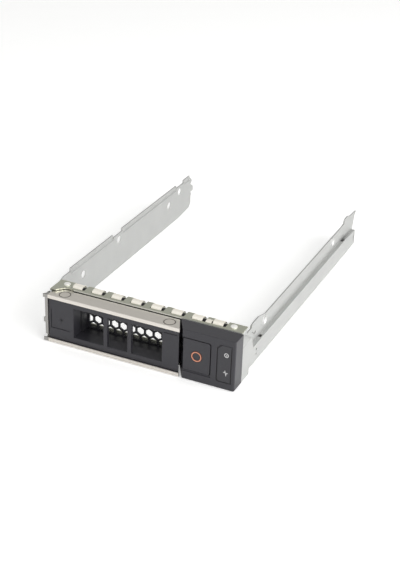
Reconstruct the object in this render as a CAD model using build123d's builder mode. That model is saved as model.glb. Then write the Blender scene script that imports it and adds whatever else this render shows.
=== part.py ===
from build123d import *
import os

os.makedirs("parts", exist_ok=True)

# A carrier for one 3.5-inch disk drive. X runs across the front, left to right, and is zero at
# mid width. Y runs from the front face to the rear, and is zero at mid length. Z runs up from
# the bezel's underside. All sizes are in millimetres.

# The drive, and the gaps between the parts
drive_width = 101.6
drive_side_gap = 0.1
running_gap = 0.3
seat_gap = 0.05

# Sheet steel of the arms, of the frame between them and of the light pipes' cover
sheet = 0.8
frame_sheet = 0.6
cover_sheet = 0.6
cover_cavity = 1.4
bend_inside = 0.6
joggle = 0.6

# Drive screws in the arms: a long row for the drive and a short row for a small drive's adapter
screw_hole_radius = 2.0
screw_sink_radius = 2.9
screw_sink_angle = 110
screw_row_z = 18.6
screw_setback = 41.0
screw_spacing = 101.6
arm_tail = 40.4
adapter_row_drop = 4.6
adapter_spacing = 76.6

# Overall sizes
width = joggle + 2 * sheet + drive_width + 2 * drive_side_gap + cover_cavity + cover_sheet
length = screw_setback + screw_spacing + arm_tail
bezel_height = 27.0
adapter_row_z = bezel_height - adapter_row_drop
left_side = -width / 2
right_side = width / 2
front = -length / 2
left_arm_x = left_side + joggle
right_arm_x = left_arm_x + sheet + drive_width + 2 * drive_side_gap
bay_middle_x = (left_arm_x + sheet + right_arm_x) / 2

# Front frame: a folded channel that opens forwards, with its web at the rear
frame_front_y = front + 8.8
frame_depth = 8.0
frame_bottom = 0.9
frame_top = bezel_height + 0.4
flange_left = left_side + 3.2
flange_right = right_side - 0.8
web_rear_y = frame_front_y + frame_depth
web_front_y = web_rear_y - frame_sheet

# Moulded block at the right of the front
wall = 1.6
body_gap = 0.4
block_left = right_side - 27.4
block_slant = 5.1
block_depth = frame_front_y - front
edge_round = 0.8

# Vent: a window in the web, a duct in the moulding and a honeycomb across the duct
vent_left = left_side + 18.7
vent_right = block_left - 11.0
vent_middle_x = (vent_left + vent_right) / 2
vent_bottom = 4.2
vent_top = bezel_height - 4.2
web_window_bottom = 6.3
web_window_top = bezel_height - 4.6

# Spring fingers in both flanges. Each lies near the left end of its slot, so that it can slide.
finger_count = 8
finger_margin = 12.55
finger_pitch = (drive_width - 2 * finger_margin) / (finger_count - 1)
finger_middle_x = bay_middle_x + 1.05
finger_width = 5.4
finger_sheet = 0.25
finger_rise = 0.8
slot_left_gap = 0.3
slot_right_gap = 1.5
slot_width = slot_left_gap + finger_width + slot_right_gap
slot_middle_x = finger_middle_x + (slot_right_gap - slot_left_gap) / 2
slot_front_y = frame_front_y + 1.7
slot_web_depth = 1.6
tab_slot_length = 2.6
locating_tab_width = 3.0

# Rivets
rivet_radius = 1.2
rivet_head_radius = 1.8
rivet_head_height = 0.45
rivet_clearance = 0.15
rivet_y = front + 12.5
rail_rivet_heights = (4.6, bezel_height - 6.5)
dome_rivet_xs = (left_side + 8.6, right_side - 6.6)
dome_head_radius = 1.65
dome_side = 0.45
dome_height = 0.8

# Lever, its pivot and its slot in the moulding
lever_depth = 8.2
pivot_x = left_side + 12.2
pivot_y = front + 4.0
pin_radius = 1.5
pin_gap = 0.06
lug_radius = 2.6
lug_bottom = 7.0
lug_top = bezel_height - 7.2
lever_left = left_side + 1.9
lever_right = block_left - 1.7
lever_slant = 3.7
lever_rear_y = front + lever_depth
lever_bottom = 0.2
lever_top = bezel_height - 0.5
lever_sheet = 0.55
lip_height = 1.9
lobe_radius = 5.0
tail_notch_right = left_side + 6.9
tail_notch_depth = 4.1
rivet_disc_radius = 2.9
far_rivet_x = lever_right - 7.2
strap_left = left_side + 3.0
strap_rear_y = front + 4.0
strap_bottom = 4.2
cam_foot_z = 10.2
cam_foot_height = 2.4
grip_left = left_side + 4.6
grip_front_y = front + 0.75
lever_window_left = vent_left
lever_window_right = vent_right - 0.1
lever_window_bottom = 5.4
lever_window_top = bezel_height - 5.2
bar_width = 2.0
bar_offset = 6.6
bar_xs = (vent_middle_x - bar_offset, vent_middle_x + bar_offset)

# Shallow lines and a dimple in the grip's face
line_width = 0.5
line_depth = 0.35
corner_line_x = left_side + 6.1
corner_line_z = 8.3
corner_line_top = 18.4
corner_line_right = left_side + 16.4
dimple_x = left_side + 11.4
dimple_z = 13.1
dimple_radius = 1.6
dimple_hole_radius = 0.5
dimple_angle = 130
end_line_z = bezel_height - 4.9
foot_step_top = 3.5
foot_step_depth = 0.25

# Hook on the lever's free end, and the pawl that holds it
hook_tip_x = block_left - 0.2
hook_front_y = front + 6.9
hook_thick = 1.2
catch_bottom = 12.2
catch_top = 14.8
latch_pin_x = block_left + 2.9
latch_pin_y = front + 12.0
latch_pin_radius = 1.0
latch_hub_radius = 2.2
nose_overlap = 1.2
nose_width = 2.2
nose_thick = 1.5
pawl_thick = 1.6
push_arm_length = 9.2

# Release button and its coloured ring
button_left = block_left + 0.4
button_right = button_left + 14.0
button_bottom = 5.4
button_top = bezel_height - 4.7
button_gap = 0.55
button_thick = 1.6
button_travel = 2.0
button_corner = 1.0
scoop_height = 0.8
scoop_depth = 0.35
ring_x = (button_left + button_right) / 2
ring_z = 13.75
ring_outer = 2.75
ring_inner = 2.05
ring_groove_gap = 0.25
ring_depth = 0.6
ring_proud = 0.15
button_front_y = front + ring_proud
button_rear_y = button_front_y + button_thick
button_spring_radius = 2.0
button_spring_wire = 0.4
button_spring_z = ring_z + 5.45
button_spring_x = ring_x + 2.4

# Status window
window_right = right_side - 1.8
window_left = window_right - 7.7
window_bottom = 3.6
window_top = bezel_height - 3.2
window_thick = 0.8
window_inset = 0.05
window_gap = 0.22
window_top_chamfer = 2.0
window_bottom_chamfer = 0.8

# Right arm: inner wall with ears, outer cover, and two light pipes between them
right_arm_top = bezel_height - 5.3
right_arm_bottom = 3.4
right_front_top = bezel_height - 0.6
front_ear_top = right_arm_top + 2.5
rear_ear_top = right_arm_top + 2.9
tip_height = right_arm_top + 0.5
tip_thick = 0.9
right_ear_front_y = front + 23.8
right_ear_end_y = front + 42.0
rear_ear_y = front + length - 21.0
cover_x = right_side - cover_sheet
cover_ledge_z = 13.0
cover_rear_y = front + length - 4.5
cover_ledge_front_y = front + 22.5
ledge_gap_front_y = cover_rear_y - 21.5
ledge_gap_rear_y = cover_rear_y - 15.0
wing_bottom = 0.4
wing_front_top = 18.6
wing_rear_top = 20.8
pin_hole_z = 19.3
ear_slot_z = 17.9
ear_slot_length = 3.2
rear_slot_z = 7.6
rear_slot_length = 3.6
ledge_hole_length = 2.6
pipe_radius = 0.6
pipe_x = (right_arm_x + sheet + cover_x) / 2
pipe_heights = (9.8, 7.2)
pipe_rear_y = cover_rear_y - 6.5
lamp_x = (window_left + window_right) / 2 + 1.0
lamp_heights = (18.9, 9.0)
lamp_spot_y = front + 26.7

# Left arm, with strips along its top between the adapter's screws
left_arm_end_y = front + length - 10.0
left_arm_top = bezel_height - 1.0
left_arm_bottom = 5.3
left_front_top = bezel_height - 2.2
screw_first_y = front + screw_setback
adapter_first_y = left_arm_end_y - 16.2 - adapter_spacing
drive_screw_ys = (screw_first_y, screw_first_y + screw_spacing)
adapter_screw_ys = (adapter_first_y, adapter_first_y + adapter_spacing)
strip_top = bezel_height + 0.2
strip_bottom = bezel_height - 2.7
strip_relief_radius = 0.5
strip_spans = (
    (front + 29.0, adapter_screw_ys[0] - 5.7),
    (adapter_screw_ys[0] + 4.8, adapter_screw_ys[1] - 3.3),
    (adapter_screw_ys[1] + 6.7, left_arm_end_y - 1.0),
)
arm_front_y = frame_front_y + 0.2
arm_front_bottom = frame_bottom + frame_sheet + 0.4
locating_tab_x = slot_middle_x + (finger_count / 2 - 1) * finger_pitch


def yz(x):
    """A side view plane at x: its first axis is Y and its second is Z."""
    return Plane.YZ.offset(x)


def xz(y):
    """A front view plane at y: its first axis is X and its second is Z, and it faces the rear."""
    return Plane(origin=(0, y, 0), x_dir=(1, 0, 0), z_dir=(0, -1, 0))


# Front frame. Its section is a channel with rounded folds at the rear; the web ends between the
# arms and carries two tabs, folded forwards, that the arms are riveted to.
section_middle_z = (frame_bottom + frame_top) / 2
section_height = frame_top - frame_bottom
section_middle_y = frame_front_y + frame_depth / 2
bay_left = left_arm_x + sheet
with BuildPart() as front_frame:
    with BuildSketch(yz(bay_left)):
        with Locations((section_middle_y, section_middle_z)):
            Rectangle(frame_depth, section_height)
        fillet(vertices().group_by(Axis.X)[-1], bend_inside + frame_sheet)
        with Locations((section_middle_y - frame_sheet, section_middle_z)):
            Rectangle(frame_depth, section_height - 2 * frame_sheet, mode=Mode.SUBTRACT)
        inner_corners = vertices().filter_by_position(
            Axis.X, web_front_y - seat_gap, web_front_y + seat_gap
        )
        fillet(inner_corners, bend_inside)
    extrude(amount=flange_right - bay_left)
    # Both flanges and their folds start further in than the web
    relief_depth = frame_top - left_front_top
    for relief_bottom in (frame_bottom, frame_top - relief_depth):
        with BuildSketch(Plane.XY.offset(relief_bottom)):
            with Locations(((bay_left + flange_left) / 2, section_middle_y)):
                Rectangle(flange_left - bay_left, frame_depth)
        extrude(amount=relief_depth, mode=Mode.SUBTRACT)
    # The top flange reaches forwards at its left end, with a round cut beside the lever's pivot
    with BuildSketch(Plane.XY.offset(frame_top - frame_sheet)):
        with BuildLine():
            Polyline(
                (flange_left, frame_front_y + frame_sheet),
                (flange_left, pivot_y + 0.6),
                (pivot_x - 5.9, pivot_y + 1.1),
                (pivot_x - 5.0, pivot_y + 2.6),
                (pivot_x - lobe_radius / 2, frame_front_y),
                (pivot_x - lobe_radius / 2, frame_front_y + frame_sheet),
                close=True,
            )
        make_face()
    extrude(amount=frame_sheet)
    with BuildSketch(Plane.XY.offset(frame_top - frame_sheet)):
        with Locations((pivot_x, pivot_y)):
            Circle(lobe_radius + running_gap)
    extrude(amount=frame_sheet, mode=Mode.SUBTRACT)
    # The bottom flange is cut back at the same corner, where the lever's tail swings
    with BuildSketch(Plane.XY.offset(frame_bottom)):
        with Locations(((flange_left + tail_notch_right) / 2, frame_front_y + tail_notch_depth / 2)):
            Rectangle(tail_notch_right - flange_left, tail_notch_depth)
    extrude(amount=frame_sheet, mode=Mode.SUBTRACT)
    # The web and its folds stop short of the right arm
    with BuildSketch(xz(web_rear_y)):
        with Locations(((right_arm_x + flange_right) / 2, section_middle_z)):
            Rectangle(flange_right - right_arm_x, section_height - 2 * frame_sheet)
    extrude(amount=frame_depth, mode=Mode.SUBTRACT)
    # Window behind the honeycomb
    with BuildSketch(xz(web_rear_y)):
        with Locations((vent_middle_x, (web_window_bottom + web_window_top) / 2)):
            RectangleRounded(vent_right - vent_left, web_window_top - web_window_bottom, edge_round)
    extrude(amount=2 * frame_sheet, mode=Mode.SUBTRACT)
    # Finger slots, open through the fold at the rear of each flange, and one short slot between
    # the last two, for the gasket's locating tab
    for slot_bottom in (frame_top - slot_web_depth, frame_bottom):
        with BuildSketch(Plane.XY.offset(slot_bottom)):
            with Locations((slot_middle_x, (slot_front_y + web_rear_y) / 2)):
                with GridLocations(finger_pitch, 0, finger_count, 1):
                    Rectangle(slot_width, web_rear_y - slot_front_y)
            with Locations((locating_tab_x, slot_front_y + tab_slot_length / 2)):
                Rectangle(finger_pitch - slot_width + running_gap, tab_slot_length)
        extrude(amount=slot_web_depth, mode=Mode.SUBTRACT)
    # Rivet tabs, folded forwards beside the arms
    tab_depth = frame_depth - 1.2
    tab_bottom = frame_bottom + relief_depth
    tab_top = frame_top - relief_depth
    for tab_x in (bay_left, right_arm_x - frame_sheet):
        with BuildSketch(yz(tab_x)):
            with Locations((web_rear_y - tab_depth / 2, (tab_bottom + tab_top) / 2)):
                RectangleRounded(tab_depth, tab_top - tab_bottom, edge_round / 2)
        extrude(amount=frame_sheet)
        with BuildSketch(yz(tab_x)):
            for rivet_z in rail_rivet_heights:
                with Locations((rivet_y, rivet_z)):
                    Circle(rivet_radius)
        extrude(amount=frame_sheet, mode=Mode.SUBTRACT)
    # Holes for the dome rivets that hold the moulding
    with BuildSketch(Plane.XY.offset(frame_bottom)):
        for dome_x in dome_rivet_xs:
            with Locations((dome_x, rivet_y)):
                Circle(rivet_radius)
    extrude(amount=section_height, mode=Mode.SUBTRACT)
front_frame.part.label = "front_frame"
export_step(front_frame.part, "parts/front_frame.step")

# Left arm. A flat wall whose upper edge is set outwards in three strips, with a toothed rear end.
with BuildPart() as left_rail:
    with BuildSketch(yz(left_arm_x)):
        with BuildLine():
            Polyline(
                (arm_front_y, arm_front_bottom),
                (web_rear_y + 4, arm_front_bottom),
                (web_rear_y + 9, left_arm_bottom),
                (left_arm_end_y - 17, left_arm_bottom),
                (left_arm_end_y - 2, left_arm_bottom + 1.5),
                (left_arm_end_y, left_arm_bottom + 4),
                (left_arm_end_y, left_arm_top - 12.2),
                (left_arm_end_y + 1.2, left_arm_top - 11.2),
                (left_arm_end_y - 0.6, left_arm_top - 9.6),
                (left_arm_end_y + 3.0, left_arm_top - 9.4),
                (left_arm_end_y + 3.0, left_arm_top - 6.6),
                (left_arm_end_y - 0.8, left_arm_top - 4.2),
                (left_arm_end_y + 0.9, left_arm_top - 3.1),
                (left_arm_end_y + 0.9, strip_bottom),
                (left_arm_end_y - 1.0, left_arm_top),
                (web_rear_y + 4, left_arm_top),
                (web_rear_y + 1, left_front_top),
                (arm_front_y, left_front_top),
                close=True,
            )
        make_face()
    extrude(amount=sheet)
    # The raised strips: the plain wall is cut away and a stepped section takes its place
    for span_start, span_end in strip_spans:
        with BuildSketch(yz(left_arm_x)):
            with Locations(((span_start + span_end) / 2, strip_bottom + 2)):
                Rectangle(span_end - span_start, 4)
            with Locations((span_start, strip_bottom + joggle)):
                Circle(strip_relief_radius)
        extrude(amount=sheet, mode=Mode.SUBTRACT)
        with BuildSketch(xz(span_end)):
            with BuildLine():
                Polyline(
                    (left_arm_x, strip_bottom),
                    (left_arm_x + sheet, strip_bottom),
                    (left_arm_x + sheet - joggle, strip_bottom + joggle),
                    (left_arm_x + sheet - joggle, strip_top),
                    (left_arm_x - joggle, strip_top),
                    (left_arm_x - joggle, strip_bottom + joggle),
                    close=True,
                )
            make_face()
        extrude(amount=span_end - span_start)
    with BuildSketch(yz(left_arm_x)):
        for rivet_z in rail_rivet_heights:
            with Locations((rivet_y, rivet_z)):
                Circle(rivet_radius)
    extrude(amount=sheet, mode=Mode.SUBTRACT)
    # Countersunk screw holes, wide at the outer face
    for screw_y, screw_z in [(y, screw_row_z) for y in drive_screw_ys] + [
        (y, adapter_row_z) for y in adapter_screw_ys
    ]:
        with Locations(Plane(origin=(left_arm_x, screw_y, screw_z), z_dir=(-1, 0, 0))):
            CounterSinkHole(
                screw_hole_radius, screw_sink_radius, depth=sheet, counter_sink_angle=screw_sink_angle
            )
left_rail.part.label = "left_rail"
export_step(left_rail.part, "parts/left_rail.step")

# Right arm: the inner wall, lower than the left one, with an ear at the front and at the rear.
with BuildPart() as right_rail:
    with BuildSketch(yz(right_arm_x)):
        with BuildLine():
            Polyline(
                (arm_front_y, arm_front_bottom),
                (web_rear_y + 3, arm_front_bottom),
                (web_rear_y + 6, right_arm_bottom),
                (cover_rear_y, right_arm_bottom),
                (cover_rear_y, cover_ledge_z),
                (cover_rear_y + 2.0, tip_height - 5.0),
                (cover_rear_y + 2.8, tip_height - 1.6),
                (front + length, tip_height - tip_thick),
                (front + length, tip_height),
                (rear_ear_y + 11.0, tip_height + 0.6),
                (rear_ear_y + 6.0, rear_ear_top),
                (rear_ear_y + 1.4, rear_ear_top - 0.2),
                (rear_ear_y, rear_ear_top - 0.9),
                (rear_ear_y, tip_height),
                (rear_ear_y - 2.4, right_arm_top),
                (right_ear_end_y, right_arm_top),
                (right_ear_end_y - 9.0, front_ear_top),
                (right_ear_front_y + 3.0, front_ear_top),
                (right_ear_front_y, front_ear_top - 0.6),
                (right_ear_front_y, tip_height),
                (web_rear_y + 1, tip_height),
                (web_rear_y + 1, right_front_top),
                (arm_front_y, right_front_top),
                close=True,
            )
        make_face()
        for rivet_z in rail_rivet_heights:
            with Locations((rivet_y, rivet_z)):
                Circle(rivet_radius, mode=Mode.SUBTRACT)
        # A pin hole and a short slot in the front ear
        with Locations((right_ear_front_y + 1.3, pin_hole_z)):
            Circle(strip_relief_radius, mode=Mode.SUBTRACT)
        with Locations((right_ear_front_y + 4.2, ear_slot_z)):
            SlotOverall(ear_slot_length, 2 * strip_relief_radius, mode=Mode.SUBTRACT)
    extrude(amount=sheet)
    for screw_y in drive_screw_ys:
        with Locations(Plane(origin=(right_arm_x + sheet, screw_y, screw_row_z), z_dir=(1, 0, 0))):
            CounterSinkHole(
                screw_hole_radius, screw_sink_radius, depth=sheet, counter_sink_angle=screw_sink_angle
            )
right_rail.part.label = "right_rail"
export_step(right_rail.part, "parts/right_rail.step")

# Cover of the light pipes: an outer wall with a tall wing at the front, and ledges folded in to
# the arm along its top and bottom. The top ledge is broken once, near the rear.
ledge_depth = cover_x - right_arm_x - sheet
wing_rear_y = front + 18.0
with BuildPart() as light_pipe_cover:
    with BuildSketch(yz(cover_x)):
        with BuildLine():
            Polyline(
                (arm_front_y, wing_bottom),
                (wing_rear_y, wing_bottom),
                (wing_rear_y, right_arm_bottom),
                (cover_rear_y, right_arm_bottom),
                (cover_rear_y, cover_ledge_z - 1.0),
                (ledge_gap_rear_y, cover_ledge_z),
                (cover_ledge_front_y, cover_ledge_z),
                (wing_rear_y + 2.0, wing_rear_top - 1.8),
                (wing_rear_y, wing_rear_top),
                (arm_front_y, wing_front_top),
                close=True,
            )
        make_face()
        for pipe_z in pipe_heights:
            with Locations((lamp_spot_y, pipe_z)):
                Circle(pipe_radius, mode=Mode.SUBTRACT)
        with Locations((cover_rear_y - 2.0, rear_slot_z)):
            SlotOverall(rear_slot_length, 2 * strip_relief_radius, rotation=90, mode=Mode.SUBTRACT)
    extrude(amount=cover_sheet)
    ledges = (
        (cover_ledge_front_y, ledge_gap_front_y, cover_ledge_z - cover_sheet),
        (ledge_gap_rear_y, cover_rear_y, cover_ledge_z - cover_sheet - 1.0),
        (wing_rear_y, cover_rear_y, right_arm_bottom),
    )
    for ledge_start, ledge_end, ledge_z in ledges:
        with BuildSketch(Plane.XY.offset(ledge_z)):
            with Locations((cover_x - ledge_depth / 2, (ledge_start + ledge_end) / 2)):
                Rectangle(ledge_depth, ledge_end - ledge_start)
        extrude(amount=cover_sheet)
    # A short opening in the top ledge
    with BuildSketch(Plane.XY.offset(cover_ledge_z - cover_sheet)):
        with Locations((cover_x - ledge_depth / 2, cover_ledge_front_y + 12.0)):
            Rectangle(ledge_depth, ledge_hole_length)
    extrude(amount=cover_sheet, mode=Mode.SUBTRACT)
light_pipe_cover.part.label = "light_pipe_cover"
export_step(light_pipe_cover.part, "parts/light_pipe_cover.step")

# Spring-finger gaskets: a strip under the flange's front edge, and one arched finger through each
# slot. The lower gasket is the same, turned over.
band_length = finger_pitch * (finger_count - 1) + finger_width
band_front_y = frame_front_y + 0.5
band_rear_y = slot_front_y + 0.3
finger_end_y = web_rear_y - 0.5
for gasket_name, flange_z, up in (("upper_gasket", frame_top, 1), ("lower_gasket", frame_bottom, -1)):
    band_z = flange_z - up * (frame_sheet + finger_sheet / 2)
    crest_z = flange_z + up * (finger_rise - finger_sheet / 2)
    finger_end_z = flange_z - up * 1.1
    with BuildPart() as gasket:
        with BuildSketch(yz(finger_middle_x - band_length / 2)):
            with Locations(((band_front_y + band_rear_y) / 2, band_z)):
                Rectangle(band_rear_y - band_front_y, finger_sheet)
        extrude(amount=band_length)
        finger_starts = [
            finger_middle_x + (index - (finger_count - 1) / 2) * finger_pitch - finger_width / 2
            for index in range(finger_count)
        ]
        for finger_x in finger_starts:
            with BuildSketch(yz(finger_x)):
                with BuildLine():
                    rise = Line((band_rear_y - 0.1, band_z), (band_rear_y + 0.5, flange_z))
                    ThreePointArc(
                        rise @ 1,
                        ((band_rear_y + 0.5 + finger_end_y) / 2, crest_z),
                        (finger_end_y, finger_end_z),
                    )
                    offset(amount=finger_sheet / 2, side=Side.BOTH)
                make_face()
            extrude(amount=finger_width)
        # Locating tab between the last two fingers, which lies on the flange
        tab_z = flange_z + up * (finger_sheet / 2 + seat_gap)
        with BuildSketch(yz(locating_tab_x - locating_tab_width / 2)):
            with BuildLine():
                Polyline(
                    (band_rear_y - 0.1, band_z),
                    (band_rear_y + 0.5, tab_z),
                    (slot_front_y + tab_slot_length + 0.4, tab_z),
                )
                offset(amount=finger_sheet / 2, side=Side.BOTH)
            make_face()
        extrude(amount=locating_tab_width)
    gasket.part.label = gasket_name
    export_step(gasket.part, f"parts/{gasket_name}.step")

# Rivets that join the arms to the frame's tabs. The heads lie in the open, shallow and domed.
with BuildPart() as rail_rivets:
    for joint_x in (left_arm_x, right_arm_x - frame_sheet):
        for rivet_z in rail_rivet_heights:
            with BuildSketch(xz(rivet_y)):
                with BuildLine():
                    Polyline(
                        (joint_x, rivet_z),
                        (joint_x - rivet_head_height, rivet_z),
                        (joint_x - rivet_head_height, rivet_z + rivet_radius),
                        (joint_x, rivet_z + rivet_head_radius),
                        (joint_x, rivet_z + rivet_radius),
                        (joint_x + sheet + frame_sheet, rivet_z + rivet_radius),
                        (joint_x + sheet + frame_sheet, rivet_z + rivet_head_radius),
                        (joint_x + sheet + frame_sheet + rivet_head_height, rivet_z + rivet_radius),
                        (joint_x + sheet + frame_sheet + rivet_head_height, rivet_z),
                        close=True,
                    )
                make_face()
            revolve(axis=Axis((joint_x, rivet_y, rivet_z), (1, 0, 0)))
rail_rivets.part.label = "rail_rivets"
export_step(rail_rivets.part, "parts/rail_rivets.step")

# Rivets of the moulding: an upright-sided, slightly domed head on each flange and a shank down
# into the moulding's skirt.
shank_length = 3.2
crown_height = dome_height - dome_side
crown_radius = (dome_head_radius**2 + crown_height**2) / (2 * crown_height)
with BuildPart() as dome_rivets:
    for dome_x in dome_rivet_xs:
        with BuildSketch(xz(rivet_y)):
            with BuildLine():
                Polyline(
                    (dome_x, frame_top + dome_height),
                    (dome_x, frame_top - shank_length),
                    (dome_x + rivet_radius, frame_top - shank_length),
                    (dome_x + rivet_radius, frame_top),
                    (dome_x + dome_head_radius, frame_top),
                    (dome_x + dome_head_radius, frame_top + dome_side),
                )
                RadiusArc(
                    (dome_x, frame_top + dome_height),
                    (dome_x + dome_head_radius, frame_top + dome_side),
                    crown_radius,
                )
            make_face()
        revolve(axis=Axis((dome_x, rivet_y, frame_top), (0, 0, 1)))
    mirror(about=Plane.XY.offset(section_middle_z))
dome_rivets.part.label = "dome_rivets"
export_step(dome_rivets.part, "parts/dome_rivets.step")

# Front bezel: one moulding. The block at the right holds the button and the status window; the
# body behind the lever has the vent duct; a lug at the left carries the lever's pivot.
body_side_gap = frame_sheet + rivet_head_height + rivet_clearance
body_left = left_arm_x + sheet + body_side_gap
body_right = right_arm_x - body_side_gap
body_bottom = frame_bottom + frame_sheet + finger_sheet + body_gap
body_top = lever_top - lever_sheet - 0.25
body_front_y = frame_front_y + 0.2
plate_rear_y = body_front_y + wall
body_rear_y = web_front_y
body_middle_z = (body_bottom + body_top) / 2
block_inner_left = block_left - 0.2
seat_bottom = 9.4
seat_top = 16.4
with BuildPart() as front_bezel:
    # Block with its slanted left end
    with BuildSketch(Plane.XY):
        with BuildLine():
            Polyline(
                (block_left, front),
                (right_side, front),
                (right_side, frame_front_y),
                (block_left - block_slant, frame_front_y),
                close=True,
            )
        make_face()
    extrude(amount=bezel_height)
    fillet(edges().filter_by(Axis.Z).sort_by(Axis.Y)[:2], edge_round)
    fillet(edges().group_by(Axis.Y)[0].filter_by(Axis.X), edge_round / 2)
    with BuildSketch(Plane.XY.offset(wall)):
        with BuildLine():
            Polyline(
                (block_left + wall, front + wall),
                (right_side - wall, front + wall),
                (right_side - wall, frame_front_y),
                (block_left - block_slant + wall, frame_front_y),
                close=True,
            )
        make_face()
    extrude(amount=bezel_height - 2 * wall, mode=Mode.SUBTRACT)
    # Body behind the lever, with the floor of the block's rear
    with BuildSketch(xz(body_rear_y)):
        with Locations(((body_left + body_right) / 2, body_middle_z)):
            Rectangle(body_right - body_left, body_top - body_bottom)
    extrude(amount=body_rear_y - frame_front_y)
    # Pockets open to the rear, left and right of the duct
    pocket_spans = (
        (body_left + wall, vent_left - wall),
        (vent_right + wall, body_right - wall),
    )
    for pocket_left, pocket_right in pocket_spans:
        with BuildSketch(xz(body_rear_y)):
            with Locations(((pocket_left + pocket_right) / 2, body_middle_z)):
                Rectangle(pocket_right - pocket_left, body_top - body_bottom - 2 * wall)
        extrude(amount=body_rear_y - plate_rear_y, mode=Mode.SUBTRACT)
    # Vent duct
    with BuildSketch(xz(body_rear_y)):
        with Locations(((vent_left + vent_right) / 2, (vent_bottom + vent_top) / 2)):
            Rectangle(vent_right - vent_left, vent_top - vent_bottom)
    extrude(amount=body_rear_y - frame_front_y, mode=Mode.SUBTRACT)
    # Opening between the block and the right pocket, for the pawl and the button's post
    with BuildSketch(xz(plate_rear_y)):
        with Locations(((block_left + body_right - wall) / 2, (seat_bottom + seat_top) / 2)):
            Rectangle(body_right - wall - block_left, seat_top - seat_bottom)
    extrude(amount=plate_rear_y - frame_front_y, mode=Mode.SUBTRACT)
    # Button opening, open at the block's left edge, with a shallow scoop along its foot
    opening_left = block_left - wall
    opening_right = button_right + button_gap
    opening_bottom = button_bottom - running_gap
    opening_top = button_top + button_gap
    opening_depth = ring_proud + button_thick + button_travel + running_gap
    with BuildSketch(xz(front + opening_depth)):
        with Locations(((opening_left + opening_right) / 2, (opening_bottom + opening_top) / 2)):
            Rectangle(opening_right - opening_left, opening_top - opening_bottom)
        fillet(vertices().group_by(Axis.X)[-1], button_corner + button_gap / 2)
    extrude(amount=opening_depth, mode=Mode.SUBTRACT)
    with BuildSketch(xz(front + scoop_depth)):
        with Locations(((opening_left + opening_right) / 2, opening_bottom)):
            Rectangle(opening_right - opening_left, 2 * scoop_height)
    extrude(amount=scoop_depth, mode=Mode.SUBTRACT)
    # Slot in the slanted wall for the lever's hook
    with BuildSketch(xz(frame_front_y + seat_gap)):
        with Locations((block_left - block_slant / 2, (catch_bottom + catch_top) / 2)):
            Rectangle(block_slant + 2 * wall, catch_top - catch_bottom + 2 * running_gap)
    extrude(amount=block_depth - wall, mode=Mode.SUBTRACT)
    # Seat of the status window, with its two cut corners
    with BuildSketch(xz(front + window_inset + window_thick)):
        with Locations(((window_left + window_right) / 2, (window_bottom + window_top) / 2)):
            Rectangle(window_right - window_left, window_top - window_bottom)
        chamfer(vertices().group_by(Axis.X)[0].sort_by(Axis.Y)[-1], window_top_chamfer)
        chamfer(vertices().group_by(Axis.Y)[0].sort_by(Axis.X)[0], window_bottom_chamfer)
    extrude(amount=window_inset + window_thick, mode=Mode.SUBTRACT)
    # Holes behind the window for the two light pipes
    with BuildSketch(xz(front + wall)):
        for lamp_z in lamp_heights:
            with Locations((lamp_x, lamp_z)):
                Circle(pipe_radius + seat_gap)
    extrude(amount=wall, mode=Mode.SUBTRACT)
    # Pocket in the right wall where the light pipes come in
    pocket_right = pipe_x + pipe_radius + seat_gap
    pocket_bottom = pipe_heights[-1] - 1.6
    with BuildSketch(Plane.XY.offset(pocket_bottom)):
        with Locations(((lamp_x + pocket_right) / 2, (front + wall + body_rear_y) / 2)):
            Rectangle(pocket_right - lamp_x, body_rear_y - front - wall)
    extrude(amount=lamp_heights[0] + 1.4 - pocket_bottom, mode=Mode.SUBTRACT)
    # Clearance in the body for the lever's turning tail
    with BuildSketch(Plane.XY.offset(body_bottom)):
        with BuildLine():
            Polyline(
                (body_left, frame_front_y),
                (pivot_x - 4.6, frame_front_y),
                (pivot_x - 4.6, front + 12.8),
                (body_left, front + 11.4),
                close=True,
            )
        make_face()
    extrude(amount=body_top - body_bottom, mode=Mode.SUBTRACT)
    # Lug for the lever's pivot
    with BuildSketch(Plane.XY.offset(lug_bottom)):
        with Locations((pivot_x, pivot_y)):
            Circle(lug_radius)
        with Locations((pivot_x, (pivot_y + plate_rear_y) / 2)):
            Rectangle(1.4 * lug_radius, plate_rear_y - pivot_y)
        with Locations((pivot_x, pivot_y)):
            Circle(pin_radius + pin_gap, mode=Mode.SUBTRACT)
    extrude(amount=lug_top - lug_bottom)
    # Bosses above and below the pawl, for its pin
    boss_spans = (
        (body_bottom + wall, catch_bottom - running_gap),
        (catch_top + running_gap, body_top - wall),
    )
    for boss_bottom, boss_top in boss_spans:
        with BuildSketch(Plane.XY.offset(boss_bottom)):
            with Locations((latch_pin_x, latch_pin_y)):
                Circle(latch_hub_radius)
            with Locations((latch_pin_x, (latch_pin_y + body_front_y) / 2)):
                Rectangle(latch_hub_radius * 1.4, latch_pin_y - body_front_y)
            with Locations((latch_pin_x, latch_pin_y)):
                Circle(latch_pin_radius, mode=Mode.SUBTRACT)
        extrude(amount=boss_top - boss_bottom)
    # Holes in the skirt for the dome rivets
    with BuildSketch(Plane.XY.offset(body_bottom)):
        for dome_x in dome_rivet_xs:
            with Locations((dome_x, rivet_y)):
                Circle(rivet_radius)
    extrude(amount=body_top - body_bottom, mode=Mode.SUBTRACT)
front_bezel.part.label = "front_bezel"
export_step(front_bezel.part, "parts/front_bezel.step")

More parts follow.
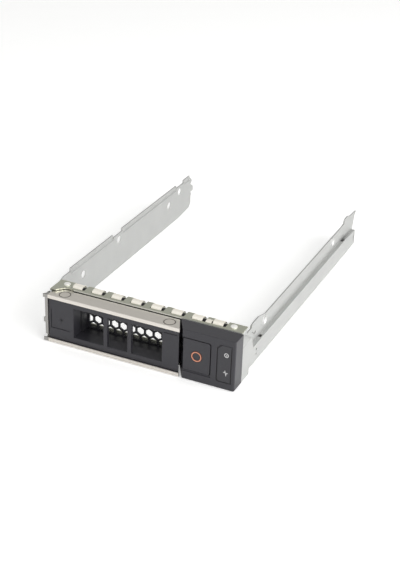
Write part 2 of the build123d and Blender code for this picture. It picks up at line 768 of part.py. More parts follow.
# Honeycomb grille across the duct: staggered rows of six-sided cells with upright sides.
cell_pitch = 4.8
cell_wall = 0.95
cell_row_pitch = cell_pitch * 0.8660254
cell_radius = (cell_pitch - cell_wall) * 0.5773503
cell_middle_x = vent_left + 26.1
cell_middle_z = 14.1
grille_depth = 1.0
grille_rim = 0.7
grille_rows = 5
grille_columns = 2 * (int((vent_right - vent_left) / cell_pitch) // 2 + 1)
grille_width = vent_right - vent_left - 2 * seat_gap
grille_height = vent_top - vent_bottom - 2 * seat_gap
with BuildSketch(xz(body_rear_y)) as grille_cells:
    for row in range(grille_rows):
        row_x = cell_middle_x + (row % 2 - 0.5) * cell_pitch / 2
        row_z = cell_middle_z + (row - (grille_rows - 1) / 2) * cell_row_pitch
        with Locations((row_x, row_z)):
            with GridLocations(cell_pitch, 0, grille_columns, 1):
                RegularPolygon(cell_radius, 6, rotation=30)
    with Locations(((vent_left + vent_right) / 2, (vent_bottom + vent_top) / 2)):
        Rectangle(
            grille_width - 2 * grille_rim,
            grille_height - 2 * grille_rim,
            mode=Mode.INTERSECT,
        )
with BuildPart() as vent_grille:
    with BuildSketch(xz(body_rear_y)):
        with Locations(((vent_left + vent_right) / 2, (vent_bottom + vent_top) / 2)):
            Rectangle(grille_width, grille_height)
        add(grille_cells.sketch, mode=Mode.SUBTRACT)
    extrude(amount=grille_depth)
vent_grille.part.label = "vent_grille"
export_step(vent_grille.part, "parts/vent_grille.step")

# Two light pipes: clear rods along the arm that turn in behind the status window.
for pipe_name, pipe_z, lamp_z in (
    ("drive_light_pipe", pipe_heights[0], lamp_heights[0]),
    ("fault_light_pipe", pipe_heights[1], lamp_heights[1]),
):
    with BuildPart() as light_pipe:
        with BuildLine():
            pipe_path = FilletPolyline(
                (pipe_x, pipe_rear_y, pipe_z),
                (pipe_x, front + 7.4, pipe_z),
                (lamp_x, front + 3.8, lamp_z),
                (lamp_x, front + window_thick + 2 * seat_gap, lamp_z),
                radius=1.5,
            )
        with BuildSketch(xz(pipe_rear_y)):
            with Locations((pipe_x, pipe_z)):
                Circle(pipe_radius)
        sweep(path=pipe_path)
    light_pipe.part.label = pipe_name
    export_step(light_pipe.part, f"parts/{pipe_name}.step")

# Status window: a dark clear plate that fills its seat but for a fine groove.
with BuildPart() as status_window:
    with BuildSketch(xz(front + window_inset + window_thick)):
        with Locations(((window_left + window_right) / 2, (window_bottom + window_top) / 2)):
            Rectangle(
                window_right - window_left - 2 * window_gap,
                window_top - window_bottom - 2 * window_gap,
            )
        chamfer(vertices().group_by(Axis.X)[0].sort_by(Axis.Y)[-1], window_top_chamfer)
        chamfer(vertices().group_by(Axis.Y)[0].sort_by(Axis.X)[0], window_bottom_chamfer)
    extrude(amount=window_thick)
status_window.part.label = "status_window"
export_step(status_window.part, "parts/status_window.step")

# Lever channel: thin bright steel, bent round the lever's left end, with a lip along the front of
# each flange and a small cam foot that bears on the chassis.
with BuildPart() as lever_channel:
    for flange_z, lip_z in (
        (lever_top - lever_sheet, lever_top - lip_height),
        (lever_bottom, lever_bottom),
    ):
        with BuildSketch(Plane.XY.offset(flange_z)):
            with BuildLine():
                Polyline(
                    (pivot_x - lobe_radius * 0.8, pivot_y + lobe_radius * 0.6),
                    (lever_left, front + 0.3),
                    (lever_left, front),
                    (lever_right, front),
                    (lever_right - lever_slant, lever_rear_y),
                    (pivot_x + lobe_radius, lever_rear_y),
                    close=True,
                )
            make_face()
            with Locations((pivot_x, pivot_y)):
                Circle(lobe_radius)
            with Locations((pivot_x, front - lobe_radius / 2)):
                Rectangle(2 * lobe_radius, lobe_radius, mode=Mode.SUBTRACT)
            for disc_x in (pivot_x, far_rivet_x):
                with Locations((disc_x, pivot_y)):
                    Circle(rivet_disc_radius + 0.2, mode=Mode.SUBTRACT)
        extrude(amount=lever_sheet)
        with BuildSketch(Plane.XY.offset(lip_z)):
            with Locations(((lever_left + lever_right) / 2, front + lever_sheet / 2)):
                Rectangle(lever_right - lever_left, lever_sheet)
        extrude(amount=lip_height)
    # Strap at the left end, with a return along the grip's edge, cut away above the bottom lip
    with BuildSketch(Plane.XY.offset(lever_bottom)):
        with Locations((strap_left + sheet / 2, (front + strap_rear_y) / 2)):
            Rectangle(sheet, strap_rear_y - front)
    extrude(amount=lever_top - lever_bottom)
    with BuildSketch(Plane.XY.offset(strap_bottom)):
        with Locations(((strap_left + grip_left - seat_gap) / 2, front + lever_sheet / 2)):
            Rectangle(grip_left - seat_gap - strap_left, lever_sheet)
    extrude(amount=lever_top - strap_bottom)
    with BuildSketch(Plane.XY.offset(lever_bottom + lip_height)):
        with Locations((strap_left + sheet / 2, front + sheet)):
            Rectangle(sheet, 2 * sheet)
    extrude(amount=strap_bottom - lever_bottom - lip_height, mode=Mode.SUBTRACT)
    # Cam foot
    with BuildSketch(Plane.XY.offset(cam_foot_z)):
        with Locations((strap_left - 0.7, front + 1.7)):
            RectangleRounded(1.6, 1.8, 0.3)
    extrude(amount=cam_foot_height)
lever_channel.part.label = "lever_channel"
export_step(lever_channel.part, "parts/lever_channel.step")

# Lever grip: the dark moulding inside the channel, hollow at the rear, with a three-cell window
# that lines up with the vent duct.
grip_bottom = lever_bottom + lever_sheet
grip_top = lever_top - lever_sheet
grip_right = lever_right - 0.5
grip_rear_y = lever_rear_y - 0.4
grip_slant = lever_slant * (grip_rear_y - grip_front_y) / (lever_rear_y - front)
grip_middle_z = (grip_bottom + grip_top) / 2
grip_wall = 1.4
hook_root_x = grip_right - grip_slant - 1.2
with BuildPart() as lever_grip:
    with BuildSketch(Plane.XY.offset(grip_bottom)):
        with BuildLine():
            Polyline(
                (grip_left, grip_front_y),
                (grip_right, grip_front_y),
                (grip_right - grip_slant, grip_rear_y),
                (pivot_x - 1.0, grip_rear_y),
                (pivot_x - 3.6, pivot_y + 2.0),
                (grip_left, pivot_y - 2.0),
                close=True,
            )
        make_face()
    extrude(amount=grip_top - grip_bottom)
    # Hollow left of the window, for the lug and its spring
    hollow_left = grip_left - wall
    hollow_right = lever_window_left - grip_wall
    with BuildSketch(xz(grip_rear_y)):
        with Locations(((hollow_left + hollow_right) / 2, grip_middle_z)):
            Rectangle(hollow_right - hollow_left, lug_top - lug_bottom + 6.0)
    extrude(amount=grip_rear_y - grip_front_y - 0.6, mode=Mode.SUBTRACT)
    # Slot for the hook's root
    with BuildSketch(Plane.XY.offset(catch_bottom)):
        with Locations((hook_root_x + 1.0, (pivot_y + grip_rear_y) / 2)):
            Rectangle(2.0, grip_rear_y - pivot_y)
    extrude(amount=catch_top - catch_bottom, mode=Mode.SUBTRACT)
    # Window through the grip, left in three cells by two bars
    with BuildSketch(xz(grip_rear_y)):
        with Locations(
            ((lever_window_left + lever_window_right) / 2, (lever_window_bottom + lever_window_top) / 2)
        ):
            Rectangle(lever_window_right - lever_window_left, lever_window_top - lever_window_bottom)
        for bar_x in bar_xs:
            with Locations((bar_x, (lever_window_bottom + lever_window_top) / 2)):
                Rectangle(bar_width, lever_window_top - lever_window_bottom, mode=Mode.SUBTRACT)
    extrude(amount=grip_rear_y - grip_front_y, mode=Mode.SUBTRACT)
    # The bars are thin, so the rear of the window is one clear space
    with BuildSketch(xz(grip_rear_y)):
        with Locations(
            ((lever_window_left + lever_window_right) / 2, (lever_window_bottom + lever_window_top) / 2)
        ):
            Rectangle(lever_window_right - lever_window_left, lever_window_top - lever_window_bottom)
    extrude(amount=grip_rear_y - grip_front_y - bar_width, mode=Mode.SUBTRACT)
    # Shallow lines in the face: a corner line at the left, a short one at the right end
    with BuildSketch(xz(grip_front_y + line_depth)):
        with Locations((corner_line_x, (corner_line_z + corner_line_top) / 2)):
            Rectangle(line_width, corner_line_top - corner_line_z + line_width)
        with Locations(((corner_line_x + corner_line_right) / 2, corner_line_z)):
            Rectangle(corner_line_right - corner_line_x, line_width)
        with Locations(((lever_window_right + grip_right) / 2, end_line_z)):
            Rectangle(grip_right - lever_window_right - wall, line_width)
    extrude(amount=line_depth, mode=Mode.SUBTRACT)
    # The foot of the face is stepped back
    with BuildSketch(xz(grip_front_y + foot_step_depth)):
        with Locations(((grip_left + grip_right) / 2, (grip_bottom + foot_step_top) / 2)):
            Rectangle(grip_right - grip_left, foot_step_top - grip_bottom)
    extrude(amount=foot_step_depth, mode=Mode.SUBTRACT)
    # Dimple
    with Locations(Plane(origin=(dimple_x, grip_front_y, dimple_z), z_dir=(0, -1, 0))):
        CounterSinkHole(
            dimple_hole_radius, dimple_radius, depth=2 * wall, counter_sink_angle=dimple_angle
        )
    # Holes for the pivot pin and the far rivet
    with BuildSketch(Plane.XY.offset(grip_bottom)):
        for pin_x in (pivot_x, far_rivet_x):
            with Locations((pin_x, pivot_y)):
                Circle(pin_radius)
    extrude(amount=grip_top - grip_bottom, mode=Mode.SUBTRACT)
lever_grip.part.label = "lever_grip"
export_step(lever_grip.part, "parts/lever_grip.step")

# Pivot pin and far rivet: a shank between two wide, flat heads that lie level with the channel.
for pin_name, pin_x in (("pivot_pin", pivot_x), ("lever_rivet", far_rivet_x)):
    with BuildPart() as pin:
        with BuildSketch(Plane.XY.offset(lever_bottom)):
            with Locations((pin_x, pivot_y)):
                Circle(rivet_disc_radius)
        extrude(amount=lever_sheet)
        with BuildSketch(Plane.XY.offset(lever_bottom)):
            with Locations((pin_x, pivot_y)):
                Circle(pin_radius)
        extrude(amount=lever_top - lever_bottom)
        with BuildSketch(Plane.XY.offset(lever_top - lever_sheet)):
            with Locations((pin_x, pivot_y)):
                Circle(rivet_disc_radius)
        extrude(amount=lever_sheet)
    pin.part.label = pin_name
    export_step(pin.part, f"parts/{pin_name}.step")

# Hook: a steel tongue let into the grip's right end, reaching into the block behind the pawl.
with BuildPart() as lever_hook:
    with BuildSketch(Plane.XY.offset(catch_bottom)):
        with Locations(((hook_root_x + hook_tip_x) / 2, hook_front_y + hook_thick / 2)):
            Rectangle(hook_tip_x - hook_root_x, hook_thick)
        with Locations((hook_root_x + 0.6, (pivot_y + hook_front_y + hook_thick) / 2)):
            Rectangle(hook_thick, hook_front_y + hook_thick - pivot_y)
    extrude(amount=catch_top - catch_bottom)
lever_hook.part.label = "lever_hook"
export_step(lever_hook.part, "parts/lever_hook.step")

# Pawl: a hub on its pin, a nose in front of the hook, and an arm that the button pushes.
nose_left = hook_tip_x - nose_overlap
nose_rear_y = hook_front_y - 0.2
with BuildPart() as latch:
    with BuildSketch(Plane.XY.offset(catch_bottom)):
        with Locations((latch_pin_x, latch_pin_y)):
            Circle(latch_hub_radius)
        with Locations((nose_left + nose_width / 2, nose_rear_y - nose_thick / 2)):
            Rectangle(nose_width, nose_thick)
        with BuildLine():
            Polyline(
                (nose_left + nose_width - 1.0, nose_rear_y - nose_thick),
                (nose_left + nose_width, nose_rear_y - nose_thick),
                (latch_pin_x + 1.2, latch_pin_y - 1.6),
                (latch_pin_x - 1.6, latch_pin_y - 0.6),
                close=True,
            )
        make_face()
        with Locations((latch_pin_x + push_arm_length / 2, latch_pin_y)):
            Rectangle(push_arm_length, pawl_thick)
        with Locations((latch_pin_x, latch_pin_y)):
            Circle(latch_pin_radius + pin_gap, mode=Mode.SUBTRACT)
    extrude(amount=catch_top - catch_bottom)
latch.part.label = "latch"
export_step(latch.part, "parts/latch.step")

latch_pin_end = 4.0
with BuildPart() as latch_pin:
    with BuildSketch(Plane.XY.offset(catch_bottom - latch_pin_end)):
        with Locations((latch_pin_x, latch_pin_y)):
            Circle(latch_pin_radius)
    extrude(amount=catch_top - catch_bottom + 2 * latch_pin_end)
latch_pin.part.label = "latch_pin"
export_step(latch_pin.part, "parts/latch_pin.step")

# Release button: a plate with rounded right corners, a post to the pawl and a spring seat.
post_x = latch_pin_x + push_arm_length - 1.2
post_width = 1.4
post_end_y = latch_pin_y - pawl_thick / 2 - running_gap
with BuildPart() as release_button:
    with BuildSketch(xz(button_rear_y)):
        with Locations(((button_left + button_right) / 2, (button_bottom + button_top) / 2)):
            Rectangle(button_right - button_left, button_top - button_bottom)
        fillet(vertices().group_by(Axis.X)[-1], button_corner)
    extrude(amount=button_thick)
    # Groove round the ring, a little wider than the ring
    with BuildSketch(xz(button_front_y + ring_depth)):
        with Locations((ring_x, ring_z)):
            Circle(ring_outer + ring_groove_gap)
            Circle(ring_inner - ring_groove_gap, mode=Mode.SUBTRACT)
    extrude(amount=ring_depth, mode=Mode.SUBTRACT)
    with BuildSketch(xz(post_end_y)):
        with Locations((post_x, (catch_bottom + catch_top) / 2)):
            Rectangle(post_width, catch_top - catch_bottom)
    extrude(amount=post_end_y - button_rear_y)
    with BuildSketch(xz(button_rear_y + 2.0)):
        with Locations((button_spring_x, button_spring_z)):
            Circle(button_spring_radius - button_spring_wire)
    extrude(amount=2.0)
release_button.part.label = "release_button"
export_step(release_button.part, "parts/release_button.step")

with BuildPart() as button_ring:
    with BuildSketch(xz(button_front_y + ring_depth)):
        with Locations((ring_x, ring_z)):
            Circle(ring_outer)
            Circle(ring_inner, mode=Mode.SUBTRACT)
    extrude(amount=ring_depth + ring_proud)
button_ring.part.label = "button_ring"
export_step(button_ring.part, "parts/button_ring.step")

# Button spring: an open coil from the button's back to the moulding's plate.
spring_start_y = button_rear_y + button_spring_wire / 2 + seat_gap
spring_span = frame_front_y - spring_start_y - button_spring_wire / 2
spring_turns = 4
with BuildPart() as button_spring:
    with BuildLine():
        coil = Helix(
            pitch=spring_span / spring_turns,
            height=spring_span,
            radius=button_spring_radius,
            center=(button_spring_x, spring_start_y, button_spring_z),
            direction=(0, 1, 0),
        )
    with BuildSketch(Plane(origin=coil @ 0, z_dir=coil % 0)):
        Circle(button_spring_wire / 2)
    sweep(path=coil, is_frenet=True)
button_spring.part.label = "button_spring"
export_step(button_spring.part, "parts/button_spring.step")

# Kick-out spring: a close coil round the pivot pin, on top of the lug.
kick_wire = 0.45
kick_turns = 4
kick_radius = pin_radius + kick_wire / 2 + 0.15
with BuildPart() as kick_spring:
    with BuildLine():
        kick_coil = Helix(
            pitch=kick_wire + 0.1,
            height=kick_turns * (kick_wire + 0.1),
            radius=kick_radius,
            center=(pivot_x, pivot_y, lug_top + kick_wire / 2 + 0.02),
        )
    with BuildSketch(Plane(origin=kick_coil @ 0, z_dir=kick_coil % 0)):
        Circle(kick_wire / 2)
    sweep(path=kick_coil, is_frenet=True)
kick_spring.part.label = "kick_spring"
export_step(kick_spring.part, "parts/kick_spring.step")
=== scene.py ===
import math

import bpy
import numpy as np
from mathutils import Matrix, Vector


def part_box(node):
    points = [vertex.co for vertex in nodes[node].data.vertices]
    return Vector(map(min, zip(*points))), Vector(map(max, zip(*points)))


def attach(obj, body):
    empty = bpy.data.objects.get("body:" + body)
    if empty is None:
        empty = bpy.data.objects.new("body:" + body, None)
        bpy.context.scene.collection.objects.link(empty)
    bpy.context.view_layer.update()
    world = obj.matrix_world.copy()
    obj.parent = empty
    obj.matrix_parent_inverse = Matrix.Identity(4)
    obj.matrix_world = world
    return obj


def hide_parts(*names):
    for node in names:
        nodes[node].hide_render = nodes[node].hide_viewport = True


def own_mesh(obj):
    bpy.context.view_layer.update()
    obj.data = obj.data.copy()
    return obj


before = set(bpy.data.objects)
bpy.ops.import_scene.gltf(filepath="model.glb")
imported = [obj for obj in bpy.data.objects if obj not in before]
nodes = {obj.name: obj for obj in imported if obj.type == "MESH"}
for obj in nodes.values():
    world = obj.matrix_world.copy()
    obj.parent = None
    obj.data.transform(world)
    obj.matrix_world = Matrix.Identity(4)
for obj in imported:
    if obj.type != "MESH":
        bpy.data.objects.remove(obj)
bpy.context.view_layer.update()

# The two arms and the light pipes' cover are folded from zinc-plated steel sheet. The plating is
# satin, with a faint grain along the rolled strip and soft cloudy patches.
arm_zinc = (0.64, 0.645, 0.635)


def blank_finish(name):
    """A new material, with its node tree and its shader."""
    material = bpy.data.materials.new(name)
    material.use_nodes = True
    tree = material.node_tree
    return material, tree, tree.nodes["Principled BSDF"]


def add_noise(tree, place, scale, detail):
    """The share, from none to all, of a noise of that scale and detail at a place."""
    noise = tree.nodes.new("ShaderNodeTexNoise")
    noise.inputs["Scale"].default_value = scale
    noise.inputs["Detail"].default_value = detail
    tree.links.new(place, noise.inputs["Vector"])
    return noise.outputs["Fac"]


def add_relief(tree, shader, height, strength, distance):
    """A bump on the shader's surface that follows a height."""
    relief = tree.nodes.new("ShaderNodeBump")
    relief.inputs["Strength"].default_value = strength
    relief.inputs["Distance"].default_value = distance
    tree.links.new(height, relief.inputs["Height"])
    tree.links.new(relief.outputs["Normal"], shader.inputs["Normal"])


def blend_colours(tree, shader, share, start, end):
    """Gives the shader a colour on the straight way from a start to an end, by a share.

    The start is a colour, or the socket of one that was worked out before.
    """
    blend = tree.nodes.new("ShaderNodeMix")
    blend.data_type = "RGBA"
    if isinstance(start, bpy.types.NodeSocket):
        tree.links.new(start, blend.inputs["A"])
    else:
        blend.inputs["A"].default_value = (*start, 1.0)
    blend.inputs["B"].default_value = (*end, 1.0)
    tree.links.new(share, blend.inputs["Factor"])
    tree.links.new(blend.outputs["Result"], shader.inputs["Base Color"])


def plated_steel(name, colour, roughness, grain_axis=(60.0, 6.0, 60.0), cloud=0.05, metal=1.0):
    """Satin plated steel: a metal whose tone drifts in soft clouds, with a fine stretched grain.

    The clouds are noise a centimetre or so across that lightens and darkens the colour by the
    given share. The grain is noise stretched along the strip, which sways the roughness and
    raises a shallow bump.
    """
    material, tree, shader = blank_finish(name)
    shader.inputs["Metallic"].default_value = metal
    place = tree.nodes.new("ShaderNodeTexCoord").outputs["Object"]
    darker = [channel * (1.0 - cloud) for channel in colour]
    lighter = [min(1.0, channel * (1.0 + cloud)) for channel in colour]
    cloud_scale, cloud_detail = 90.0, 3.0
    blend_colours(tree, shader, add_noise(tree, place, cloud_scale, cloud_detail), darker, lighter)
    stretch = tree.nodes.new("ShaderNodeMapping")
    stretch.inputs["Scale"].default_value = grain_axis
    tree.links.new(place, stretch.inputs["Vector"])
    grain_scale, grain_detail = 60.0, 4.0
    grain = add_noise(tree, stretch.outputs["Vector"], grain_scale, grain_detail)
    smoother_by, rougher_by = 0.05, 0.07
    sway = tree.nodes.new("ShaderNodeMapRange")
    sway.inputs["To Min"].default_value = roughness - smoother_by
    sway.inputs["To Max"].default_value = roughness + rougher_by
    tree.links.new(grain, sway.inputs["Value"])
    tree.links.new(sway.outputs["Result"], shader.inputs["Roughness"])
    grain_strength, grain_height = 0.12, 0.00002
    add_relief(tree, shader, grain, grain_strength, grain_height)
    return material


def finish_node(node_name, material):
    """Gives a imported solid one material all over."""
    solid = nodes[node_name]
    solid.data.materials.clear()
    solid.data.materials.append(material)


arm_steel = plated_steel("arm_zinc_plate", arm_zinc, 0.46)
for arm in ("left_rail", "right_rail", "light_pipe_cover"):
    finish_node(arm, arm_steel)

# The cover's wing is dished in at its top, so a sloped shoulder runs from its outer face up to the
# arm behind the bezel. It is pressed in one with the wing, from the same sheet, and is coloured a
# darker copy of the arm's plating, as painted shade.
arm_low, arm_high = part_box("right_rail")
hair_gap = 0.0001
shoulder_outer_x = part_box("light_pipe_cover")[1][0]
shoulder_inner_x = arm_high[0] + hair_gap
shoulder_front_y = arm_low[1] + hair_gap
outer_length, inner_length = 0.0089, 0.0078
outer_front_z, outer_rear_z = 0.0184, 0.0206
inner_front_z, inner_rear_z = 0.0252, 0.0222
shoulder_corners = np.array(
    [
        [
            (shoulder_outer_x, shoulder_front_y, outer_front_z),
            (shoulder_inner_x, shoulder_front_y, inner_front_z),
        ],
        [
            (shoulder_outer_x, shoulder_front_y + outer_length, outer_rear_z),
            (shoulder_inner_x, shoulder_front_y + inner_length, inner_rear_z),
        ],
    ]
)
shoulder_hollow = 0.0001
shoulder_sheet = 0.0004
shoulder_steps = 9


def shoulder_patch(along, up):
    """A patch between four corners, hollowed a little across its slope.

    Each point is the mean of the corners weighted by its share along and up, moved inwards by the
    hollow times a half sine of its share up.
    """
    share_along, share_up = np.meshgrid(along, up, indexing="ij")
    weights = [
        [(1 - share_along) * (1 - share_up), (1 - share_along) * share_up],
        [share_along * (1 - share_up), share_along * share_up],
    ]
    points = sum(
        weights[i][j][..., None] * shoulder_corners[i][j] for i in (0, 1) for j in (0, 1)
    )
    points[..., 0] -= shoulder_hollow * np.sin(math.pi * share_up)
    return points


def grid_quads(rows, columns, closed=False):
    """The four-cornered faces between neighbouring rows and columns of a grid of points.

    Each face goes from a point to the next row, along that row and back. A closed grid joins its
    last column to its first.
    """
    row, column = np.meshgrid(
        np.arange(rows - 1), np.arange(columns if closed else columns - 1), indexing="ij"
    )
    beside = (column + 1) % columns
    corners = [
        row * columns + column,
        (row + 1) * columns + column,
        (row + 1) * columns + beside,
        row * columns + beside,
    ]
    return np.stack(corners, axis=-1).reshape(-1, 4)


def add_piece(name, points, faces, material, smooth=False):
    """A new object at the origin, of one material, from its points and faces."""
    mesh = bpy.data.meshes.new(name)
    mesh.from_pydata(points.reshape(-1, 3).tolist(), [], faces)
    mesh.polygons.foreach_set("use_smooth", np.full(len(mesh.polygons), smooth))
    mesh.materials.append(material)
    piece = bpy.data.objects.new(name, mesh)
    bpy.context.scene.collection.objects.link(piece)
    return piece


shoulder_shares = np.linspace(0.0, 1.0, shoulder_steps)
# Painted shade: the shoulder's plating is a darker copy of the arm's.
wing_shoulder = add_piece(
    "wing_shoulder",
    shoulder_patch(shoulder_shares, shoulder_shares),
    grid_quads(shoulder_steps, shoulder_steps).tolist(),
    plated_steel("shoulder_painted_shade_zinc", (0.56, 0.565, 0.555), 0.52),
)
shoulder_wall = wing_shoulder.modifiers.new("sheet", "SOLIDIFY")
shoulder_wall.thickness = shoulder_sheet
shoulder_wall.offset = -1.0
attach(wing_shoulder, "tray")

# The front frame is folded from a thinner strip, passivated to a dull olive grey. A near-white line
# is painted along the front edges of its two flanges, as a painted highlight.


def rising_share(tree, value, none_at, all_at):
    """A share that rises in a straight line from none to all between two values."""
    share = tree.nodes.new("ShaderNodeMapRange")
    share.inputs["From Min"].default_value = none_at
    share.inputs["From Max"].default_value = all_at
    tree.links.new(value, share.inputs["Value"])
    return share.outputs["Result"]


def tint_beyond(material, axis, edge, width, tint, band=False):
    """Changes a steel's colour to a tint on the low side of a plane across an axis.

    The share of the tint is whole below the plane and falls in a straight line to none at a width
    above it. In a band it falls like that to both sides, so only a line along the plane is left.
    """
    tree = material.node_tree
    shader = tree.nodes["Principled BSDF"]
    plain = shader.inputs["Base Color"].links[0].from_socket
    place = tree.nodes.new("ShaderNodeTexCoord")
    parts = tree.nodes.new("ShaderNodeSeparateXYZ")
    tree.links.new(place.outputs["Object"], parts.inputs["Vector"])
    past = tree.nodes.new("ShaderNodeMath")
    past.operation = "SUBTRACT"
    past.inputs[1].default_value = edge
    tree.links.new(parts.outputs[axis], past.inputs[0])
    if band:
        apart = tree.nodes.new("ShaderNodeMath")
        apart.operation = "ABSOLUTE"
        tree.links.new(past.outputs["Value"], apart.inputs[0])
        past = apart
    blend_colours(tree, shader, rising_share(tree, past.outputs["Value"], width, 0.0), plain, tint)


frame_steel = plated_steel("frame_zinc_plate", (0.59, 0.60, 0.505), 0.38)
strip_setback = 0.0005
flange_front_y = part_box("upper_gasket")[0][1] - strip_setback
# Painted highlight: a near-white line along the flanges' front edges.
edge_highlight_width = 0.00005
edge_highlight_colour = (0.95, 0.96, 0.92)
tint_beyond(frame_steel, "Y", flange_front_y, edge_highlight_width, edge_highlight_colour, band=True)
finish_node("front_frame", frame_steel)

# The finger strips are bead-blasted stainless spring steel, so half of their look is matt. They are
# pressed into arches that earth the caddy against its neighbours. The spring that kicks the lever
# out is of the same steel.
finger_steel = plated_steel(
    "finger_stainless", (0.96, 0.92, 0.83), 0.46, (8.0, 60.0, 60.0), cloud=0.01, metal=0.5
)
for strip in ("upper_gasket", "lower_gasket", "kick_spring"):
    finish_node(strip, finger_steel)

# The button's return spring is four open turns of stainless wire. It is pressed together against
# the moulding's plate as the button goes in.
spring_x, spring_z = 0.0354, 0.0192
spring_radius, spring_wire = 0.002, 0.0004
spring_turns = 4
spring_low, spring_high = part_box("button_spring")
coil_steps, wire_steps = 160, 12


def coil_tube(turns_along, round_wire):
    """A round wire wound in a helix about a line along Y.

    The wire's centre goes round the line at the coil's radius while it moves along it evenly. The
    wire's own circle lies in the plane of the radius and the line.
    """
    turn, ring = np.meshgrid(turns_along * 2.0 * math.pi, round_wire, indexing="ij")
    start_y = spring_low[1] + spring_wire / 2
    span = spring_high[1] - spring_low[1] - spring_wire
    reach = spring_radius + spring_wire / 2 * np.cos(ring)
    along = start_y + span * turn / (2.0 * math.pi * spring_turns) + spring_wire / 2 * np.sin(ring)
    return np.stack(
        [spring_x + reach * np.cos(turn), along, spring_z + reach * np.sin(turn)], axis=-1
    )


coil_points = coil_tube(
    np.linspace(0.0, spring_turns, coil_steps),
    np.linspace(0.0, 2.0 * math.pi, wire_steps, endpoint=False),
)
coil_faces = grid_quads(coil_steps, wire_steps, closed=True)[:, [0, 3, 2, 1]].tolist()
first_end = list(range(wire_steps))[::-1]
last_end = list(range((coil_steps - 1) * wire_steps, coil_steps * wire_steps))
return_spring = add_piece(
    "return_spring",
    coil_points,
    coil_faces + [first_end, last_end],
    finger_steel,
    smooth=True,
)
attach(return_spring, "tray")
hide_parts("button_spring")
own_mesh(return_spring)

# Rivets, pins and the hook are turned or blanked steel. The rivets that hold the arms are tumbled
# dull and the ones in the flanges are bright. The hook is painted nearly black, as painted shade
# where it shows between the other pieces.
turned_steel = plated_steel("turned_steel", (0.96, 0.95, 0.91), 0.40, metal=0.5)
for fastener in ("dome_rivets", "latch_pin"):
    finish_node(fastener, turned_steel)
finish_node("lever_hook", plated_steel("hook_painted_shade_steel", (0.10, 0.10, 0.10), 0.45))
finish_node("rail_rivets", plated_steel("tumbled_steel", arm_zinc, 0.60))

# The lever's channel is thin nickel-plated steel with a warm tint, brushed along its length. The
# strap at its left end is painted a darker grey, as painted shade. The flat heads of its two pins
# are ground flush with it, and a thin dark ring is painted round each head, as painted shade for
# the gap.
lever_brushing = (4.0, 90.0, 90.0)
lever_cloud = 0.04
lever_nickel = plated_steel(
    "lever_nickel", (0.88, 0.835, 0.775), 0.30, lever_brushing, lever_cloud
)
# Painted shade: the strap at the channel's left end is darkened to grey.
strap_fade = 0.0001
strap_right_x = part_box("lever_grip")[0][0] - strap_fade
tint_beyond(lever_nickel, "X", strap_right_x, strap_fade, (0.42, 0.41, 0.395))
finish_node("lever_channel", lever_nickel)


def paint_shade_round(material, plane, centre, radius, width, shade):
    """Paints shade on a finish past a circle in a plane, given as ones and a nought.

    The share of the shade rises in a straight line across the width, with the distance from the
    circle's centre measured in that plane. A width below nought darkens inside the circle.
    """
    tree = material.node_tree
    shader = tree.nodes["Principled BSDF"]
    plain = shader.inputs["Base Color"].links[0].from_socket
    place = tree.nodes.new("ShaderNodeTexCoord")
    flat = tree.nodes.new("ShaderNodeVectorMath")
    flat.operation = "MULTIPLY"
    flat.inputs[1].default_value = plane
    tree.links.new(place.outputs["Object"], flat.inputs[0])
    reach = tree.nodes.new("ShaderNodeVectorMath")
    reach.operation = "DISTANCE"
    reach.inputs[1].default_value = centre
    tree.links.new(flat.outputs["Vector"], reach.inputs[0])
    share = rising_share(tree, reach.outputs["Value"], radius, radius + width)
    blend_colours(tree, shader, share, plain, shade)


# Painted shade: a thin dark ring round each flush pin head, for the shadow in the gap round it.
level_plane = (1.0, 1.0, 0.0)
gap_shade_inset, gap_shade_width = 0.00042, 0.00006
gap_painted_shade = (0.34, 0.31, 0.28)
for flush_pin in ("pivot_pin", "lever_rivet"):
    pin_low, pin_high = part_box(flush_pin)
    gap_shade_radius = (pin_high[0] - pin_low[0]) / 2 - gap_shade_inset
    head_centre = ((pin_low[0] + pin_high[0]) / 2, (pin_low[1] + pin_high[1]) / 2, 0.0)
    head_nickel = plated_steel(
        flush_pin + "_nickel", (0.87, 0.82, 0.755), 0.32, lever_brushing, lever_cloud
    )
    paint_shade_round(head_nickel, level_plane, head_centre, gap_shade_radius, gap_shade_width, gap_painted_shade)
    finish_node(flush_pin, head_nickel)

# The bezel, the honeycomb, the lever's grip and the button are moulded in one dark grey plastic
# with a fine spark-eroded texture. The pawl behind the button is natural acetal.


def grained_plastic(name, colour, roughness, relief_height=0.00003):
    """Moulded plastic: a colour that drifts by a few hundredths, with a fine sandy bump."""
    material, tree, shader = blank_finish(name)
    place = tree.nodes.new("ShaderNodeTexCoord").outputs["Object"]
    drift = 0.07
    darker = [channel * (1.0 - drift) for channel in colour]
    lighter = [channel * (1.0 + drift) for channel in colour]
    flow_scale, flow_detail = 60.0, 2.0
    blend_colours(tree, shader, add_noise(tree, place, flow_scale, flow_detail), darker, lighter)
    shader.inputs["Roughness"].default_value = roughness
    sand_scale, sand_detail, sand_strength = 3200.0, 2.0, 0.35
    sand = add_noise(tree, place, sand_scale, sand_detail)
    add_relief(tree, shader, sand, sand_strength, relief_height)
    return material


dark_moulding = grained_plastic("dark_moulding", (0.033, 0.0322, 0.0385), 0.31)
for moulding in ("front_bezel", "vent_grille", "lever_grip", "release_button"):
    finish_node(moulding, dark_moulding)
finish_node("latch", grained_plastic("pawl_acetal", (0.55, 0.55, 0.52), 0.4))

